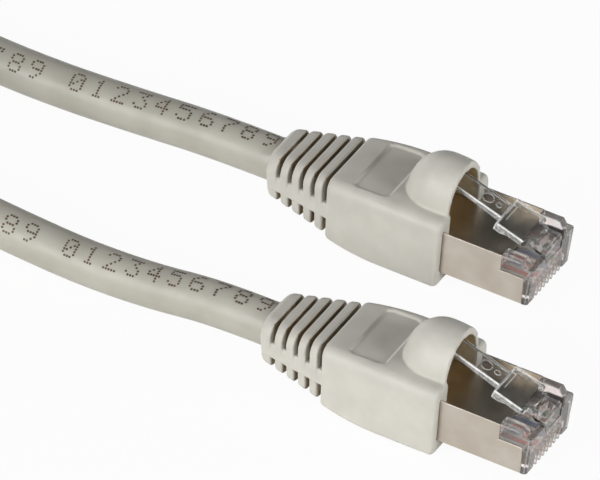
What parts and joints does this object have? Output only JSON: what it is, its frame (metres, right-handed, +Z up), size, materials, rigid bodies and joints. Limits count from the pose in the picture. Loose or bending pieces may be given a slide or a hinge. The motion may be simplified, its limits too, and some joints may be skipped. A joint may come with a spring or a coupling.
{
  "type": "shielded ethernet patch cable",
  "caption": "Grey shielded patch cable with a clear-nosed modular plug, metal shield, ribbed boot and latch hood on each end, its middle coiled.",
  "frame": {"origin": "bottom centre of the box round the two plugs with their boots, at the boots' flat undersides", "axes": "+X out of both plugs' noses, +Z up, latches on top"},
  "size_m": [0.1864, 0.0822, 0.016],
  "materials": {
    "clear_polycarbonate": "clear gloss",
    "clear_polycarbonate_latch": "clear gloss",
    "gold_plated_bronze": "polished gold plate",
    "natural_polycarbonate": "translucent",
    "nickel_plated_brass": "satin nickel plate",
    "tinned_copper_band": "satin",
    "orange_insulation": "satin",
    "green_insulation": "satin",
    "blue_insulation": "satin",
    "brown_insulation": "satin",
    "bare_copper": "drawn",
    "aluminium_foil": "bright",
    "tinned_copper": "tinned",
    "grey_pvc_jacket": "satin",
    "inner_polyethylene": "natural",
    "grey_pvc_boot": "fine matt"
  },
  "bodies": {
    "cable": {"coil": "grey_pvc_jacket", "lead_a": "grey_pvc_jacket", "lead_b": "grey_pvc_jacket", "housing_a": "clear_polycarbonate", "contacts_a": "gold_plated_bronze", "load_bar_a": "natural_polycarbonate", "shield_a": "nickel_plated_brass", "clamp_band_a": "tinned_copper_band", "pair_orange_a": "orange_insulation", "pair_green_a": "green_insulation", "pair_blue_a": "blue_insulation", "pair_brown_a": "brown_insulation", "conductors_a": "bare_copper", "foil_wrap_a": "aluminium_foil", "drain_wire_a": "tinned_copper", "jacket_end_a": "grey_pvc_jacket", "inner_mould_a": "inner_polyethylene", "boot_a": "grey_pvc_boot", "hood_a": "grey_pvc_boot", "housing_b": "clear_polycarbonate", "contacts_b": "gold_plated_bronze", "load_bar_b": "natural_polycarbonate", "shield_b": "nickel_plated_brass", "clamp_band_b": "tinned_copper_band", "pair_orange_b": "orange_insulation", "pair_green_b": "green_insulation", "pair_blue_b": "blue_insulation", "pair_brown_b": "brown_insulation", "conductors_b": "bare_copper", "foil_wrap_b": "aluminium_foil", "drain_wire_b": "tinned_copper", "jacket_end_b": "grey_pvc_jacket", "inner_mould_b": "inner_polyethylene", "boot_b": "grey_pvc_boot", "hood_b": "grey_pvc_boot"},
    "latch_a": {"latch_a": "clear_polycarbonate_latch"},
    "latch_b": {"latch_b": "clear_polycarbonate_latch"}
  },
  "joints": [
    {"name": "latch_a_press", "type": "hinge", "parent": "cable", "child": "latch_a", "pos_m": [0.0097, 0.01525, 0.0092], "axis": [0, -1, 0], "range_deg": [0, 14.5], "stiffness_Nm_per_rad": 0.1, "deforming": ["hood_a"]},
    {"name": "latch_b_press", "type": "hinge", "parent": "cable", "child": "latch_b", "pos_m": [0.0258, -0.01525, 0.0092], "axis": [0, -1, 0], "range_deg": [0, 14.5], "stiffness_Nm_per_rad": 0.1, "deforming": ["hood_b"]}
  ]
}
